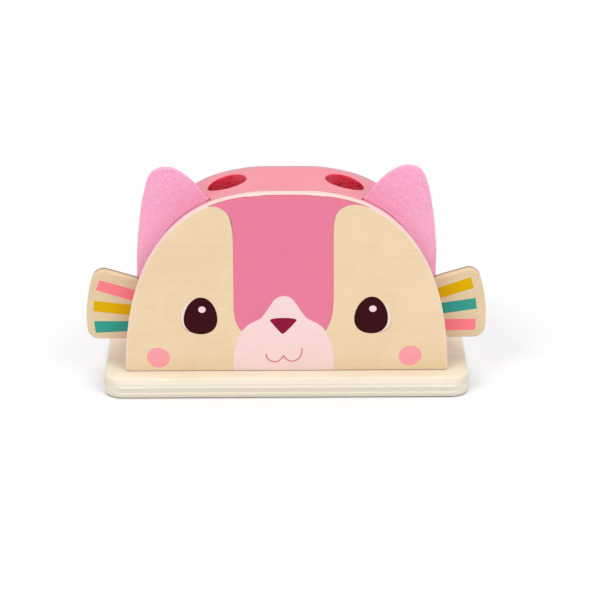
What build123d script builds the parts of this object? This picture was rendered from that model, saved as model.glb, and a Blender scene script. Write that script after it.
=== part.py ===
from build123d import *
import os
from math import cos, radians, sin, tan

# A baby's pop-up toy: an animal's head standing on a base plate. Each striped paddle beside the
# head is a lever, and pressing it down lifts a peg out of a hole in the top of the head.
# Millimetres. Origin: centre of the base plate's underside. +Z is up and the face looks along -Y.
# Left and right are the viewer's, so left is -X.

os.makedirs("parts", exist_ok=True)
SIDES = (("left", -1), ("right", 1))

# Base plate
base_width = 200.0
base_depth = 80.0
base_thickness = 12.0
base_corner_radius = 10.5
base_edge_radius = 1.8

# Head: a domed block with a slightly larger domed face panel on its front. A dome's powers say how
# full its curve is at the side and at the top.
panel_half_width = 88.25
panel_height = 103.15
panel_powers = (2.75, 2.2)
panel_thickness = 6.0
panel_corner_radius = 1.8
panel_edge_radius = 1.0
block_half_width = 84.8
block_height = 98.85
block_powers = (2.9, 2.3)
block_front = -24.0
block_back = 30.0
block_edge_radius = 2.0

# Felt ears, glued into slots that follow the dome
ear_thickness = 3.0
ear_front = -12.0
ear_inner_x = 42.3
ear_slot_depth = 4.5
ear_slot_gap = 0.1
ear_slot_end_gap = 1.3
ear_slot_bottom = 64.6

# Paddles: plywood levers in slots that are milled up from the block's underside
paddle_thickness = 6.0
paddle_front = -13.5
paddle_edge_radius = 1.0
paddle_slot_gap = 0.5
fin_bottom = 24.7
fin_corner_radius = 6.5
heel_gap = 0.2
press_angle = 30.0

# Pivots: steel pins, set in blind holes that the face panel covers
pivot_x = 76.0
pivot_z = 46.0
pivot_pin_radius = 2.5
pivot_pin_length = 22.0
pivot_pin_recess = 0.5
pin_chamfer = 0.5
pivot_running_gap = 0.08
pivot_hub_radius = 12.0

# Lift dowels: each starts as far below its pivot as it ends above it, so that its rise is even
lift_dowel_x = 33.0
lift_dowel_radius = 3.0
lift_dowel_length = 34.0
arm_end_radius = 6.5
lift_arm = pivot_x - lift_dowel_x
lift_dowel_z = pivot_z - lift_arm * tan(radians(press_angle / 2))
lift = 2 * lift_arm * tan(radians(press_angle / 2))
lift_channel_x = 32.3
lift_channel_width = 9.0
lift_channel_clearance = 1.2

# Pegs and the holes they slide in
peg_x = 32.3
peg_y = 10.0
peg_radius = 10.0
peg_rest_gap = 0.15
peg_bottom = lift_dowel_z + lift_dowel_radius + peg_rest_gap
stem_top = 76.0
stem_chamfer = 0.6
spigot_radius = 4.0
spigot_length = 8.0
neck_radius = 7.4
head_widest_z = 86.5
head_top = 98.3
collar_radius = 12.1
collar_thickness = 4.0
bore_radius = 10.6
bore_rim_radius = 0.6
chamber_radius = 12.7
chamber_clearance = 0.7
chamber_top = peg_bottom + stem_chamfer + collar_thickness + lift + chamber_clearance

# Screws from below, and the dowels that set the face panel
glue_gap = 0.02
screw_places = ((-62.0, 16.0), (62.0, 16.0), (0.0, -14.0), (0.0, 20.0))
screw_radius = 2.0
screw_length = 25.0
screw_point = 4.0
screw_head_radius = 4.0
screw_head_depth = 2.3
screw_recess = 0.6
screw_socket_width = 2.4
screw_socket_depth = 1.5
dowel_places = ((-40.0, 75.0), (40.0, 75.0))
dowel_radius = 3.0
dowel_in_panel = 3.5
dowel_in_block = 8.5
hole_end_gap = 0.5


def finish(builder, name):
    """Labels a finished piece and writes it as one STEP file."""
    builder.part.label = name
    export_step(builder.part, f"parts/{name}.step")


def facing_front(y):
    """A plane at depth y whose sketches read X and Z, and whose extrusions go towards the front."""
    return Plane.XZ.offset(-y)


def sided(shape, sign):
    """A shape drawn on the right, turned over to the left where sign is -1."""
    return shape if sign > 0 else mirror(shape, about=Plane.YZ, mode=Mode.PRIVATE)


def dome(half_width, height, powers, corner_radius=0.0):
    """A dome standing on the base plate, upright at the foot and level at the top. With z counted from
    the plate, (x / half_width) ** powers[0] + (z / height) ** powers[1] = 1."""
    turns = [radians(angle) for angle in range(0, 91, 10)]
    xs = [half_width * cos(turn) ** (2 / powers[0]) for turn in turns]
    zs = [base_thickness + height * sin(turn) ** (2 / powers[1]) for turn in turns]
    with BuildSketch() as outline:
        with BuildLine():
            side = Spline(*zip(xs, zs), tangents=((0, 1), (-1, 0)))
            mirror(side, about=Plane.YZ)
            Line((-half_width, base_thickness), (half_width, base_thickness))
        make_face()
        if corner_radius > 0:
            fillet(outline.vertices().group_by(Axis.Y)[0], radius=corner_radius)
    return outline.sketch


def block_dome(inset=0.0):
    """The block's dome less an inset."""
    return dome(block_half_width - inset, block_height - inset, block_powers)


def ear_outline():
    """The right ear: a leaf with an upright outer edge, cut to the slot's floor where it is glued in."""
    with BuildSketch() as outline:
        with BuildLine():
            leaf = Spline(
                (82.2, 60.3),
                (81.7, 80.2),
                (79.1, 102.2),
                (75.6, 117.2),
                (72.0, 122.6),
                (66.4, 124.4),
                (60.3, 123.1),
                (51.9, 117.1),
                (ear_inner_x, 105.2),
                tangents=((0, 1), (-0.64, -0.77)),
            )
            Polyline(leaf @ 1, (ear_inner_x, 80.0), (60.0, 66.4), (77.6, 65.0), (78.9, 61.3), leaf @ 0)
        make_face()
        add(block_dome(ear_slot_depth), mode=Mode.SUBTRACT)
    return outline.sketch


def ear_slot_outline():
    """The right ear's slot: a band along the dome, a little longer than the ear at its upper end."""
    with BuildSketch() as outline:
        with Locations((ear_inner_x - ear_slot_end_gap, ear_slot_bottom)):
            Rectangle(60, 60, align=(Align.MIN, Align.MIN))
        add(block_dome(ear_slot_depth + ear_slot_gap), mode=Mode.SUBTRACT)
    return outline.sketch


def arm_outline():
    """The right paddle's arm, tapering from the hub round the pivot to the end that holds the lift dowel."""
    with BuildSketch() as outline:
        with Locations((pivot_x, pivot_z)):
            Circle(pivot_hub_radius)
        with Locations((lift_dowel_x, lift_dowel_z)):
            Circle(arm_end_radius)
        make_hull()
    return outline.sketch


def paddle_outline():
    """The right paddle: the fin that is pressed, the arm to the peg, and the heel that it rests on."""
    heel_bottom = base_thickness + heel_gap
    with BuildSketch() as outline:
        with BuildLine():
            outer_edge = ThreePointArc((104.3, 66.4), (110.15, 38.8), (109.1, fin_bottom))
            Polyline(outer_edge @ 1, (79.0, fin_bottom), (74.0, 40.0), (74.0, 57.3), (79.0, 58.7), outer_edge @ 0)
        make_face()
        fillet(outline.vertices().sort_by(Axis.X)[-2:], radius=fin_corner_radius)
        add(arm_outline())
        with BuildLine():
            Polyline((48.0, 38.0), (49.5, heel_bottom), (58.5, heel_bottom), (68.0, 40.0), close=True)
        make_face()
        with Locations((pivot_x, pivot_z)):
            Circle(pivot_pin_radius + pivot_running_gap, mode=Mode.SUBTRACT)
        with Locations((lift_dowel_x, lift_dowel_z)):
            Circle(lift_dowel_radius + glue_gap, mode=Mode.SUBTRACT)
    return outline.sketch


def paddle_slot_outline():
    """The right paddle's slot: open below and at the block's side, with room for the lever's swing."""
    inner_end = 23.5
    outside = 95.0
    low_roof = 62.0
    high_roof = 66.0
    with BuildSketch() as outline:
        with BuildLine():
            Polyline(
                (inner_end, base_thickness),
                (outside, base_thickness),
                (outside, low_roof),
                (66.0, low_roof),
                (56.0, high_roof),
                (inner_end, high_roof),
                close=True,
            )
        make_face()
    return outline.sketch


def wood_screw():
    """A countersunk screw standing head down on the origin, with a cross socket in its head."""
    with BuildPart() as screw:
        with BuildSketch(Plane.XZ):
            with BuildLine():
                Polyline(
                    (0, 0),
                    (screw_head_radius, 0),
                    (screw_radius, screw_head_depth),
                    (screw_radius, screw_length - screw_point),
                    (0, screw_length),
                    close=True,
                )
            make_face()
        revolve(axis=Axis.Z)
        with BuildSketch():
            Rectangle(screw_socket_width * 2, screw_socket_width / 3)
            Rectangle(screw_socket_width / 3, screw_socket_width * 2)
        extrude(amount=screw_socket_depth, mode=Mode.SUBTRACT)
    return screw.part


# Base plate, with countersunk holes from below
with BuildPart() as base_plate:
    with BuildSketch():
        RectangleRounded(base_width, base_depth, base_corner_radius)
    extrude(amount=base_thickness)
    fillet(base_plate.faces().filter_by(Axis.Z).edges(), radius=base_edge_radius)
    with BuildSketch():
        with Locations(*screw_places):
            Circle(screw_radius + glue_gap)
    extrude(amount=base_thickness, mode=Mode.SUBTRACT)
    sink_radius = screw_head_radius + screw_recess
    sink_depth = (sink_radius - screw_radius) * screw_head_depth / (screw_head_radius - screw_radius)
    with Locations(*[(x, y, sink_depth / 2) for x, y in screw_places]):
        Cone(sink_radius, screw_radius, sink_depth, mode=Mode.SUBTRACT)
finish(base_plate, "base_plate")

# Body block: the dome, eased at the back, then everything that is drilled and milled into it
with BuildPart() as body_block:
    with BuildSketch(facing_front(block_back)):
        add(block_dome())
    extrude(amount=block_back - block_front)
    back_rim = body_block.faces().sort_by(Axis.Y)[-1].edges().filter_by(GeomType.LINE, reverse=True)
    fillet(back_rim, radius=block_edge_radius)
    # Peg holes, and the wider chambers below them that the collars travel in
    with BuildSketch(Plane.XY.offset(chamber_top)):
        with Locations((-peg_x, peg_y), (peg_x, peg_y)):
            Circle(bore_radius)
    extrude(amount=block_height, mode=Mode.SUBTRACT)
    edges_round_holes = body_block.edges().filter_by_position(Axis.Y, peg_y - 1, peg_y + 1)
    hole_rims = edges_round_holes.filter_by_position(Axis.Z, head_top, base_thickness + block_height)
    fillet(hole_rims, radius=bore_rim_radius)
    with BuildSketch(Plane.XY.offset(base_thickness)):
        with Locations((-peg_x, peg_y), (peg_x, peg_y)):
            Circle(chamber_radius)
    extrude(amount=chamber_top - base_thickness, mode=Mode.SUBTRACT)
    # Slots for the ears and the paddles
    for side, sign in SIDES:
        with BuildSketch(facing_front(ear_front + ear_thickness + ear_slot_gap)):
            add(sided(ear_slot_outline(), sign))
        extrude(amount=ear_thickness + 2 * ear_slot_gap, mode=Mode.SUBTRACT)
        with BuildSketch(facing_front(paddle_front + paddle_thickness + paddle_slot_gap)):
            add(sided(paddle_slot_outline(), sign))
        extrude(amount=paddle_thickness + 2 * paddle_slot_gap, mode=Mode.SUBTRACT)
    # The channels that the lift dowels rise in, from the paddles' slots into the chambers
    channel_front = paddle_front + paddle_thickness
    lift_channel_top = lift_dowel_z + lift + lift_dowel_radius + lift_channel_clearance
    with BuildSketch(Plane.XY.offset(base_thickness)):
        with Locations((-lift_channel_x, channel_front), (lift_channel_x, channel_front)):
            Rectangle(lift_channel_width, peg_y - channel_front, align=(Align.CENTER, Align.MIN))
    extrude(amount=lift_channel_top - base_thickness, mode=Mode.SUBTRACT)
    # Holes for the screws, the pivot pins and the face panel's dowels
    with BuildSketch(Plane.XY.offset(base_thickness)):
        with Locations(*screw_places):
            Circle(screw_radius + glue_gap)
    extrude(amount=screw_recess + screw_length + hole_end_gap - base_thickness, mode=Mode.SUBTRACT)
    with BuildSketch(facing_front(block_front)):
        with Locations((-pivot_x, pivot_z), (pivot_x, pivot_z)):
            Circle(pivot_pin_radius + glue_gap)
    extrude(amount=-(pivot_pin_recess + pivot_pin_length + hole_end_gap), mode=Mode.SUBTRACT)
    with BuildSketch(facing_front(block_front)):
        with Locations(*dowel_places):
            Circle(dowel_radius + glue_gap)
    extrude(amount=-(dowel_in_block + hole_end_gap), mode=Mode.SUBTRACT)
finish(body_block, "body_block")

# Face panel, with blind holes in its back for the dowels
with BuildPart() as face_panel:
    with BuildSketch(facing_front(block_front)):
        add(dome(panel_half_width, panel_height, panel_powers, panel_corner_radius))
    extrude(amount=panel_thickness)
    fillet(face_panel.faces().filter_by(Axis.Y).edges(), radius=panel_edge_radius)
    with BuildSketch(facing_front(block_front)):
        with Locations(*dowel_places):
            Circle(dowel_radius + glue_gap)
    extrude(amount=dowel_in_panel + hole_end_gap, mode=Mode.SUBTRACT)
finish(face_panel, "face_panel")

with BuildPart() as panel_dowels:
    with BuildSketch(facing_front(block_front + dowel_in_block)):
        with Locations(*dowel_places):
            Circle(dowel_radius)
    extrude(amount=dowel_in_block + dowel_in_panel)
finish(panel_dowels, "panel_dowels")

with BuildPart() as base_screws:
    with Locations(*[(x, y, screw_recess) for x, y in screw_places]):
        add(wood_screw())
finish(base_screws, "base_screws")

for side, sign in SIDES:
    # Ear
    with BuildPart() as ear:
        with BuildSketch(facing_front(ear_front + ear_thickness)):
            add(sided(ear_outline(), sign))
        extrude(amount=ear_thickness)
    finish(ear, f"{side}_ear")

    # Paddle, its pivot pin and its lift dowel
    with BuildPart() as paddle:
        with BuildSketch(facing_front(paddle_front + paddle_thickness)):
            add(sided(paddle_outline(), sign))
        extrude(amount=paddle_thickness)
        rims = [face.outer_wire().edges() for face in paddle.faces().filter_by(Axis.Y)]
        fillet(rims, radius=paddle_edge_radius)
    finish(paddle, f"{side}_paddle")

    with BuildPart() as pivot_pin:
        with BuildSketch(facing_front(block_front + pivot_pin_recess + pivot_pin_length)):
            with Locations((sign * pivot_x, pivot_z)):
                Circle(pivot_pin_radius)
        extrude(amount=pivot_pin_length)
        chamfer(pivot_pin.faces().filter_by(Axis.Y).edges(), length=pin_chamfer)
    finish(pivot_pin, f"{side}_pivot_pin")

    with BuildPart() as lift_dowel:
        with BuildSketch(facing_front(paddle_front + lift_dowel_length)):
            with Locations((sign * lift_dowel_x, lift_dowel_z)):
                Circle(lift_dowel_radius)
        extrude(amount=lift_dowel_length)
        chamfer(lift_dowel.faces().filter_by(Axis.Y).edges(), length=pin_chamfer)
    finish(lift_dowel, f"{side}_lift_dowel")

    # Peg: stem, stop collar and head
    with BuildPart() as peg_stem:
        with BuildSketch(Plane.XY.offset(peg_bottom)):
            with Locations((sign * peg_x, peg_y)):
                Circle(peg_radius)
        extrude(amount=stem_top - peg_bottom)
        chamfer(peg_stem.faces().filter_by(Axis.Z).edges(), length=stem_chamfer)
        with BuildSketch(Plane.XY.offset(stem_top)):
            with Locations((sign * peg_x, peg_y)):
                Circle(spigot_radius)
        extrude(amount=spigot_length)
    finish(peg_stem, f"{side}_peg_stem")

    with BuildPart() as peg_collar:
        with BuildSketch(Plane.XY.offset(peg_bottom + stem_chamfer)):
            with Locations((sign * peg_x, peg_y)):
                Circle(collar_radius)
                Circle(peg_radius + glue_gap, mode=Mode.SUBTRACT)
        extrude(amount=collar_thickness)
    finish(peg_collar, f"{side}_peg_collar")

    with BuildPart() as peg_head:
        with BuildSketch(Plane((sign * peg_x, peg_y, 0), x_dir=(1, 0, 0), z_dir=(0, -1, 0))):
            with BuildLine():
                Line((0, stem_top), (neck_radius, stem_top))
                Bezier((neck_radius, stem_top), (9.4, 78.0), (peg_radius, 81.5), (peg_radius, head_widest_z))
                Bezier((peg_radius, head_widest_z), (peg_radius, 94.3), (6.2, head_top), (0, head_top))
                Line((0, head_top), (0, stem_top))
            make_face()
        revolve(axis=Axis((sign * peg_x, peg_y, 0), (0, 0, 1)))
        with BuildSketch(Plane.XY.offset(stem_top)):
            with Locations((sign * peg_x, peg_y)):
                Circle(spigot_radius + glue_gap)
        extrude(amount=spigot_length + hole_end_gap, mode=Mode.SUBTRACT)
    finish(peg_head, f"{side}_peg_head")
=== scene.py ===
"""Looks for a wooden pop-up toy: plywood, satin paint, felt ears, a printed face and striped paddles.

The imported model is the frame. Its solid pieces keep their shapes and get materials here. The felt and
the printed films are surfaces worked out with numpy. Lengths are millimetres unless they say metres,
and mm turns them into metres. Left and right are the viewer's, so left is -X.
"""

from math import cos, radians, sin

import bpy
import numpy as np
from mathutils import Matrix, Vector


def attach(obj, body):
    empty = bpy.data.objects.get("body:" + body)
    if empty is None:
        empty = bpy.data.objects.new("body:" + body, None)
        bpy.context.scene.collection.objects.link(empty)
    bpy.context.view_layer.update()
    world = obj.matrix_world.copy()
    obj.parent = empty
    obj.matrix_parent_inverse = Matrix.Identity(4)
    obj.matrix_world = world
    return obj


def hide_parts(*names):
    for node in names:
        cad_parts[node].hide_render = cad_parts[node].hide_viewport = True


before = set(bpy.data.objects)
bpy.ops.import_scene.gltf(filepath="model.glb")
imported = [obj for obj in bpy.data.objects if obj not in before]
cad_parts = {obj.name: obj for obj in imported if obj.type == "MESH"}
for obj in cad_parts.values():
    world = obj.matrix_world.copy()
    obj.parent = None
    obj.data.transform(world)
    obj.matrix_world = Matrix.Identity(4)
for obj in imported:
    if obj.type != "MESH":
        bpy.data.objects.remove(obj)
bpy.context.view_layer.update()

bl_info = {
    "name": "Pop-up animal toy",
    "version": (1, 0, 0),
    "blender": (4, 5, 0),
    "location": "3D View > Sidebar > Toy",
    "description": "Dresses a wooden pop-up toy in plywood, paint, felt and print",
    "category": "Add Mesh",
}

mm = 0.001
SIDES = (("left", -1), ("right", 1))

# The boards' top or front faces, and the panel's rounded edge. The print stops a margin inside the
# panel's outline, and follows the edge's fall by a share
base_top = 12.0
panel_front = -30.0
paddle_front = -13.5
panel_edge_radius = 1.0
print_margin = 0.35
print_follows_edge = 0.8

# The domes of the panel, of the floors of the ears' slots and of the block: half width, height, powers
panel_dome = (88.25, 103.15, (2.75, 2.2))
slot_floor_dome = (80.3, 94.35, (2.9, 2.3))
block_dome = (84.8, 98.85, (2.9, 2.3))

# Where along Y the block's paint is greyed: painted shade behind the panel, and a painted grey edge light
# towards the back rim
panel_shade_span = (-16.0, -6.0)
back_rim_light_span = (23.0, 28.0)

# The pegs' holes in the block: their places and radius, the heights over which their walls darken as painted
# shade, and how rough their cut is
peg_x = 32.3
peg_y = 10.0
bore_radius = 10.6
hole_shade_depths = (101.0, 109.0)
hole_roughness = 40.0

# Felt ears
ear_middle_y = -10.5
ear_thickness = 3.0
ear_rim_width = 1.2
ear_edge = (
    (82.2, 60.3), (81.7, 80.2), (79.1, 102.2), (75.6, 117.2), (72.0, 122.6), (66.4, 124.4),
    (60.3, 123.1), (51.9, 117.1), (42.3, 105.2),
)
ear_foot = ((82.2, 60.3), (78.9, 61.3), (77.6, 65.0))
ear_shifts = ((-0.35, -0.35), (0.3, 0.3))
ear_shift_rise = 15.0
# Heights over which the felt is lightened downwards, as painted light where the panel shades the ears
ear_painted_light_heights = (70.0, 112.0)

# The points of an ear's faces: along its edge, over its rounded rim, and from there to its foot
ear_columns = 150
ear_rim_rows = 7
ear_rows = 70

# Plies, from a board's face inwards: where each starts, as a share of the board, and how dark it is
base_plies = (
    (0.0, 0.0), (0.18, 0.1), (0.28, 0.5), (0.385, 0.1), (0.475, 1.0), (0.685, 0.35), (0.785, 1.0),
    (0.885, 0.75), (0.96, 1.0),
)
panel_plies = ((0.0, 0.0), (0.2, 0.15), (0.4, 0.0), (0.62, 0.15), (0.82, 0.0))
paddle_plies = ((0.0, 0.0), (0.2, 0.25), (0.42, 0.05), (0.55, 0.5), (0.6, 1.0))

# Boards: the axis through one, the place of its face along it, the direction inwards, its thickness,
# its plies, and its skin, which is the share of it whose edge looks like its face
base_board = (2, base_top, -1, 12.0, base_plies, 0.17)
panel_board = (1, panel_front, 1, 6.0, panel_plies, -0.1)
paddle_board = (1, paddle_front, 1, 6.0, paddle_plies, 0.55)

# What a colour is multiplied by: in the wood's grain, pores and end grain, as painted shade on what looks
# down and where ink runs over an edge, as the block's painted grey shade and edge light, as painted light
# in the holes, as painted shade and cut marks in them, and as painted shade at the felt's foot
grain_factor = (0.94, 0.91, 0.87)
pore_factor = 0.5
end_grain_factor = 0.62
underside_shade_factor = 0.3
edge_ink_shade_factor = (0.64, 0.82, 0.68)
grey_shade_and_rim_light_factor = (0.71, 1.1, 1.02)
hole_painted_light_factor = (1.2, 0.9, 1.05)
hole_shade_and_mark_factor = (0.5, 0.1, 0.25)
felt_foot_shade_factor = (0.42, 0.25, 0.3)

white = (1.0, 1.0, 1.0, 1.0)

# The printed face, as (x, height above print_foot)
print_foot = 12.35
nose_middle_x = -1.8
muzzle_middle_x = -1.55
blaze_left = (
    (-42.3, 95.8), (-40.2, 95.9), (-36.8, 95.4), (-32.2, 92.1), (-29.9, 87.7), (-29.1, 80.7),
    (-29.0, 64.8), (-28.9, 44.7), (-28.8, 34.6), (-27.7, 28.6), (-25.4, 23.9),
)
blaze_bottom = ((-20.0, 21.5), (16.5, 21.5))
blaze_right = (
    (21.7, 23.7), (24.0, 29.3), (25.2, 34.3), (25.75, 44.4), (25.65, 64.6), (25.6, 81.4),
    (26.1, 88.4), (27.9, 92.8), (32.1, 95.7), (37.4, 96.6), (41.0, 95.95), (46.0, 94.3),
)
muzzle_half_widths = (
    (27.2, 0.0), (27.35, 1.2), (27.5, 5.4), (27.0, 12.0), (25.3, 18.2), (22.8, 23.4), (19.5, 26.9),
    (15.9, 29.1), (12.6, 30.9), (10.1, 34.1), (7.6, 38.0), (5.0, 41.8), (2.5, 43.5), (0.0, 44.1),
)
nose_top = 29.65
nose_depth = 7.4
nose_tip_shift = -0.35
mouth_left = (
    (-11.25, 10.1), (-10.9, 7.8), (-9.3, 6.05), (-7.0, 5.1), (-4.7, 5.5), (-3.0, 7.0),
    (-1.65, 8.95),
)
mouth_right = (
    (-1.65, 8.95), (-0.5, 7.0), (1.3, 5.8), (3.2, 5.45), (6.2, 6.6), (7.8, 8.9), (8.35, 11.2),
    (8.35, 13.5),
)
eye_places = ((-46.9, 32.5), (46.2, 32.6))
eye_tilts = (-2.0, -3.4)
eye_egg = 0.17
eye_fullness = 0.95
eye_rim_shifts = ((-1.5, 0.1), (1.85, -0.25))
eye_rim_lower = 0.9
eye_line_shift = (0.25, -0.6)
highlight_offset = (0.8, 3.75)
cheek_places = ((-70.3, 7.9), (67.7, 8.5))
cheek_tilt = 20.0

# The paddles' stripes, as four corners (x, z): lower inner, lower outer, upper inner, upper outer
left_stripes = (
    ("pink", (-78.5, 45.55), (-104.6, 53.65), (-76.5, 51.65), (-102.5, 59.55)),
    ("mustard", (-78.5, 37.75), (-106.4, 41.25), (-77.8, 44.05), (-105.9, 47.35)),
    ("teal", (-78.5, 29.55), (-105.3, 28.35), (-78.3, 35.15), (-106.2, 35.25)),
)
right_stripes = (
    ("mustard", (77.8, 45.65), (103.2, 54.05), (76.3, 51.65), (101.4, 60.35)),
    ("teal", (79.3, 37.85), (105.1, 41.75), (77.8, 44.05), (104.2, 48.05)),
    ("pink", (79.3, 28.85), (104.4, 29.05), (78.4, 35.45), (104.7, 35.75)),
)

# The camera, and the point of the toy that it was set by
camera_elevation = 22.0
camera_azimuth = -0.7
camera_distance = 1500.0
millimetres_per_pixel = 0.548
picture_width = 600.0
sensor_width = 36.0
anchor_point = (0.0, -40.0, 0.0)
anchor_pixel = (286.9, 398.2)

# The middle of the toy's shadow on the floor, and how far from it the shadow starts and ends to fade
shadow_middle = (14.0, 4.0)
shadow_fade = (112.0, 172.0)

# The floor and the lamps, in metres: how far the floor reaches and how far it lies below the toy, each
# lamp's place and width, and the point that the lamps face
floor_reach = 4.0
floor_gap = 1e-4
front_lamp = ((0.95, -1.15, 1.3), 0.9)
top_lamp = ((0.0, 0.1, 1.6), 1.2)
lit_point = (0.0, 0.0, 0.05)


def srgb(red, green, blue):
    """A screen colour, 0 to 255, as the linear colour that shaders use."""
    share = np.array((red, green, blue)) / 255
    return tuple(np.where(share <= 0.04045, share / 12.92, ((share + 0.055) / 1.055) ** 2.4))


def rgba(colour, factor=1.0):
    """A colour times a factor, or its parts times three factors, with full alpha."""
    return (*(np.array(colour) * factor), 1.0)


# Shader expressions


class Value:
    """One output of a node. Operators on it add Math nodes."""

    def __init__(self, shader, socket):
        self.shader = shader
        self.socket = socket

    def math(self, operation, *others):
        return self.shader.math(operation, self, *others)

    def __add__(self, other):
        return self.math("ADD", other)

    __radd__ = __add__

    def __mul__(self, other):
        return self.math("MULTIPLY", other)

    def __sub__(self, other):
        return self.math("SUBTRACT", other)

    def __rsub__(self, other):
        return self.shader.math("SUBTRACT", other, self)

    def __truediv__(self, other):
        return self.math("DIVIDE", other)

    def __pow__(self, other):
        return self.math("POWER", other)

    def __abs__(self):
        return self.math("ABSOLUTE")

    def rise(self, low, high):
        """0 up to low, 1 from high on, and a smooth step between them."""
        settings = {"interpolation_type": "SMOOTHSTEP"}
        return self.shader.node("MapRange", settings, {"Value": self, "From Min": low, "From Max": high})


class Shader:
    """The nodes of one material or world. Its places are Object coordinates in millimetres."""

    def __init__(self, name, kind="materials"):
        self.owner = getattr(bpy.data, kind).new(name)
        self.owner.use_nodes = True
        self.tree = self.owner.node_tree
        self.tree.nodes.clear()

    def node(self, kind, settings=None, inputs=None, outputs=(0,)):
        """Adds one node: first its settings, then the values or links of its sockets."""
        made = self.tree.nodes.new("ShaderNode" + kind)
        for name, setting in (settings or {}).items():
            if name == "stops":
                self.set_stops(made.color_ramp, setting)
            else:
                setattr(made, name, setting)
        for name, value in (inputs or {}).items():
            if isinstance(value, Value):
                self.tree.links.new(value.socket, made.inputs[name])
            else:
                made.inputs[name].default_value = value
        found = [Value(self, made.outputs[name]) for name in outputs]
        return found[0] if len(found) == 1 else found

    @staticmethod
    def set_stops(ramp, stops):
        """Grey stops of a ramp, each one flat up to the next."""
        ramp.interpolation = "CONSTANT"
        while len(ramp.elements) < len(stops):
            ramp.elements.new(1.0)
        for element, (position, grey) in zip(ramp.elements, stops):
            element.position = position
            element.color = (grey, grey, grey, 1.0)

    def math(self, operation, *values):
        return self.node("Math", {"operation": operation}, dict(enumerate(values)))

    def place(self):
        """The shaded point in millimetres, and its normal."""
        where, normal = self.node("TexCoord", outputs=("Object", "Normal"))
        return self.node("VectorMath", {"operation": "SCALE"}, {0: where, "Scale": 1 / mm}), normal

    def parts(self, vector):
        """The X, Y and Z of a vector."""
        return self.node("SeparateXYZ", {}, {0: vector}, ("X", "Y", "Z"))

    def stretched(self, place, scales):
        """A place scaled along each axis: a small scale draws a pattern out along that axis."""
        return self.node("VectorMath", {"operation": "MULTIPLY"}, {0: place, 1: scales})

    def drawn_out(self, place, axis, scale):
        """A place scaled along one axis only."""
        scales = [1.0, 1.0, 1.0]
        scales[axis] = scale
        return self.stretched(place, scales)

    def noise(self, place, size, detail=2.0, roughness=0.5, distortion=0.0):
        """Soft random values round 0.5, whose blotches are about size millimetres wide."""
        names = ("Vector", "Scale", "Detail", "Roughness", "Distortion")
        return self.node("TexNoise", {}, dict(zip(names, (place, 1 / size, detail, roughness, distortion))))

    def blend(self, amount, under, over):
        """One colour over another, by an amount from 0 to 1."""
        return self.node("Mix", {"data_type": "RGBA"}, {0: amount, 6: under, 7: over}, (2,))

    def bump(self, height, depth):
        """A normal tilted by a height whose 1 stands depth millimetres above its 0."""
        return self.node("Bump", {}, {"Strength": 1.0, "Distance": depth * mm, "Height": height})

    def finish(self, colour, roughness, normal, **fixed):
        """The Principled surface and the output. fixed are sockets that are the same all over."""
        inputs = {"Base Color": colour, "Roughness": roughness, "Normal": normal, **fixed}
        return self.output(self.node("BsdfPrincipled", {}, inputs))

    def output(self, surface, kind="OutputMaterial"):
        """Joins the surface to the output, and returns the material or world."""
        self.node(kind, {}, {"Surface": surface}, ())
        return self.owner


def wood_grain(shader, place, along):
    """Streaks drawn out along one axis (0, 1 or 2), from 0 to 1, and fine pores, 1 inside a pore."""
    streaks = shader.noise(shader.drawn_out(place, along, 0.045), 1.6, 4.0, 0.62, 0.35).rise(0.32, 0.7)
    pores = shader.noise(shader.drawn_out(place, along, 0.09), 0.32, 1.0).rise(0.64, 0.74)
    return streaks, pores


def plywood(name, board, tints, edge_starts=0.8):
    """Plywood, from how deep in the board a point lies.

    tints are those of the veneer, the pale plies and the dark plies. The veneer's grain runs along X,
    so where an edge looks along X, long grain and end grain change places. Whatever looks down is
    darkened, as painted shade. The edge starts where a rounded corner's normal, along the board's
    thickness, has fallen below edge_starts.
    """
    axis, face, inwards, thickness, plies, skin = board
    veneer_tint, pale_tint, dark_tint = tints
    shader = Shader(name)
    place, normal = shader.place()
    wander = (shader.noise(place, 26.0) - 0.5) * (0.5 / thickness)
    depth = (shader.parts(place)[axis] - face) * (inwards / thickness) + wander
    tone = shader.node("ValToRGB", {"stops": plies}, {0: depth})
    looks = shader.parts(normal)
    edge = (1 - abs(looks[axis]).rise(edge_starts, 0.98)) * depth.rise(skin - 0.03, skin + 0.03)
    tone = tone + (abs(looks[0]) - abs(looks[2])).rise(0.1, 0.8) * (0.8 - tone * 1.4)
    streaks, pores = wood_grain(shader, place, 0)
    specks = shader.noise(place, 0.45, 2.0, 0.7)
    drift = shader.noise(place, 30.0, 4.0, 0.6, 0.8).rise(0.3, 0.7)
    veneer = shader.blend(streaks * 0.4 + drift * 0.6, rgba(veneer_tint), rgba(veneer_tint, grain_factor))
    veneer = shader.blend(pores * 0.16, veneer, rgba(veneer_tint, pore_factor))
    long_grain = shader.blend(streaks * 0.35, rgba(pale_tint), rgba(pale_tint, grain_factor))
    speckle = specks.rise(0.35, 0.75) * 0.4
    end_grain = shader.blend(speckle, rgba(dark_tint), rgba(dark_tint, end_grain_factor))
    colour = shader.blend(edge, veneer, shader.blend(tone, long_grain, end_grain))
    # Painted shade: whatever looks down is darkened
    underside_shade = (0 - looks[2]).rise(0.3, 0.9) * 0.6
    colour = shader.blend(underside_shade, colour, rgba(veneer_tint, underside_shade_factor))
    roughness = 0.46 + streaks * 0.1 + edge * tone * 0.16
    relief = streaks * 0.45 + pores * -0.6 + specks * edge * tone * 0.9
    return shader.finish(colour, roughness, shader.bump(relief, 0.02))


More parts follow.
